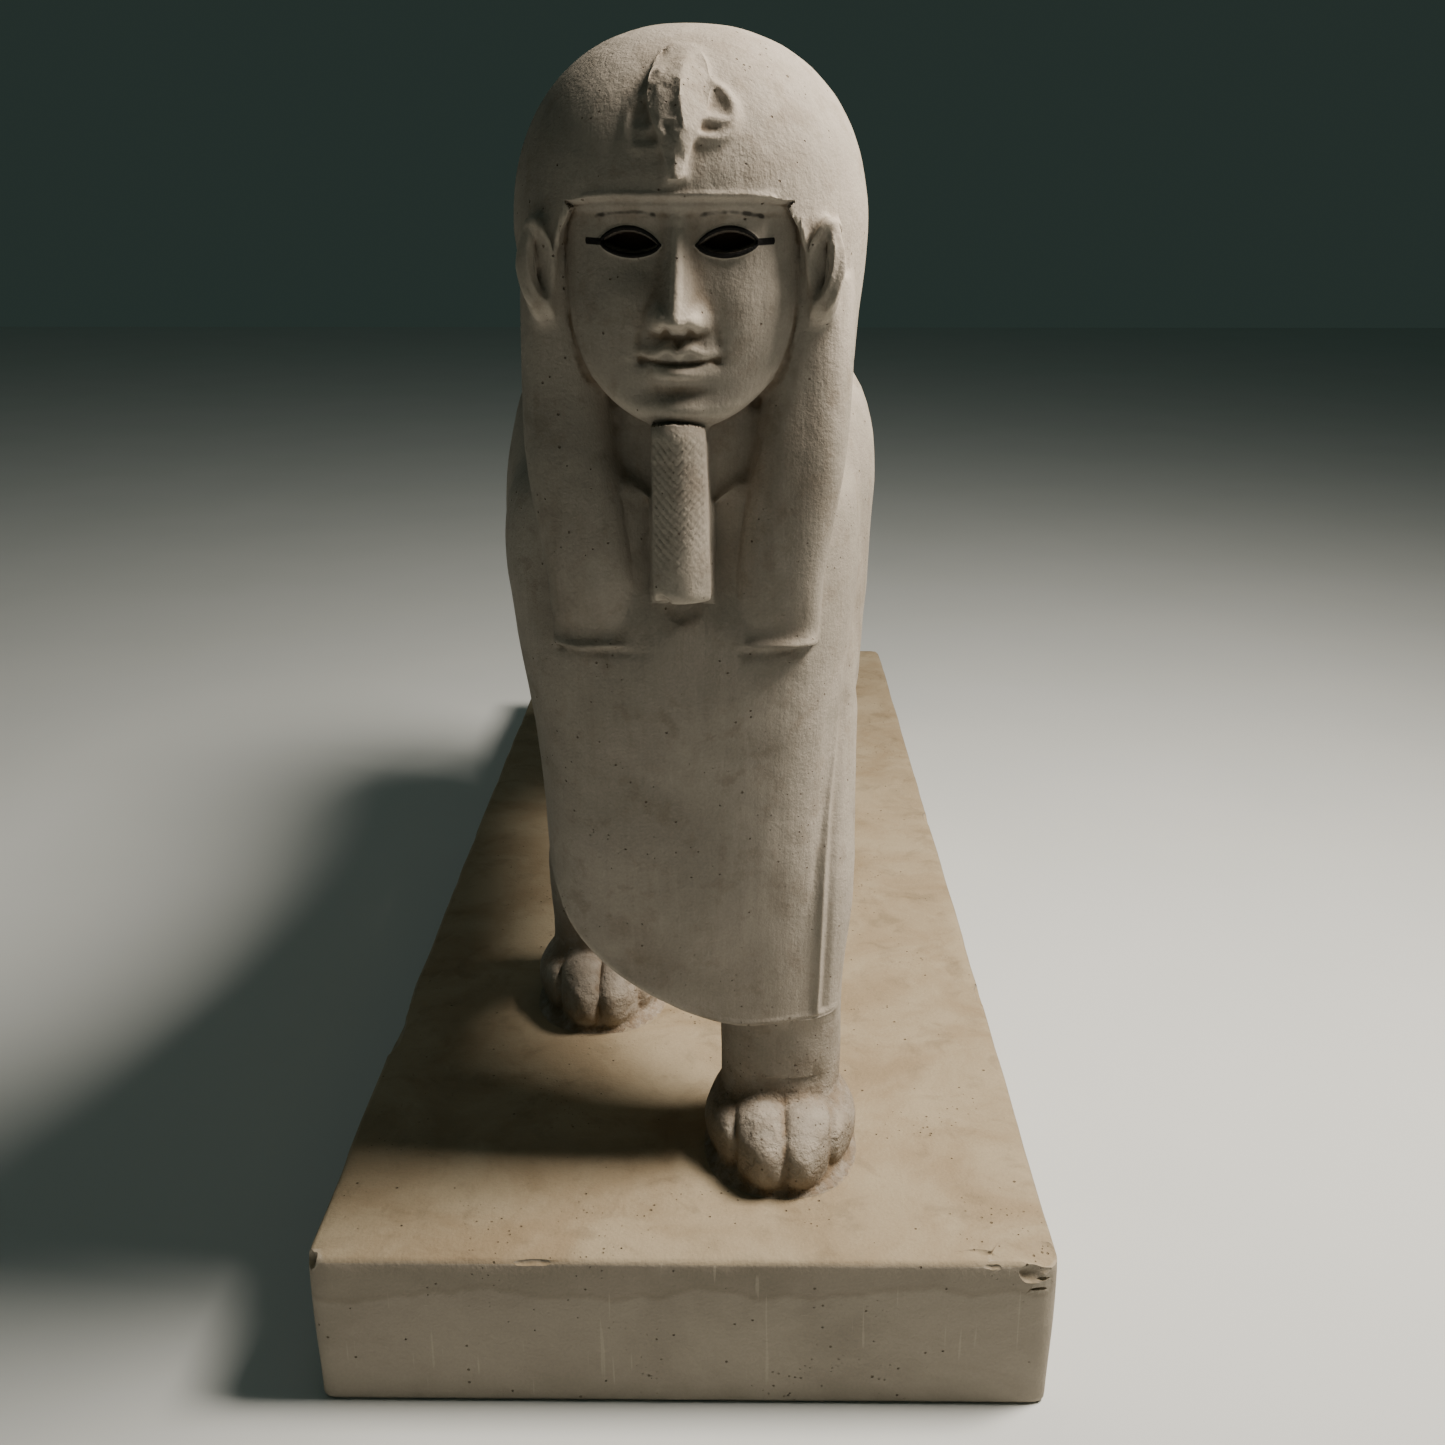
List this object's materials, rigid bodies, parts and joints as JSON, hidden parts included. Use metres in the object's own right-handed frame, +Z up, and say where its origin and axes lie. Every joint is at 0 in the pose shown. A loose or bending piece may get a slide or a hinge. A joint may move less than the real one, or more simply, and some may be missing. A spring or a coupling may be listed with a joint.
{
  "type": "sphinx statue",
  "caption": "Plaster cast of a striding sphinx with headcloth, braided beard and broken brow cobra, standing on its oblong plinth.",
  "frame": {"origin": "middle of the plinth's underside", "axes": "+Z up, the sphinx faces -Y, +Y runs along the plinth towards the tail, +X is the sphinx's left"},
  "size_m": [0.2, 0.565, 0.35],
  "materials": {
    "plaster": "matte"
  },
  "bodies": {
    "root": {"sphinx_and_plinth": "plaster"}
  },
  "joints": []
}
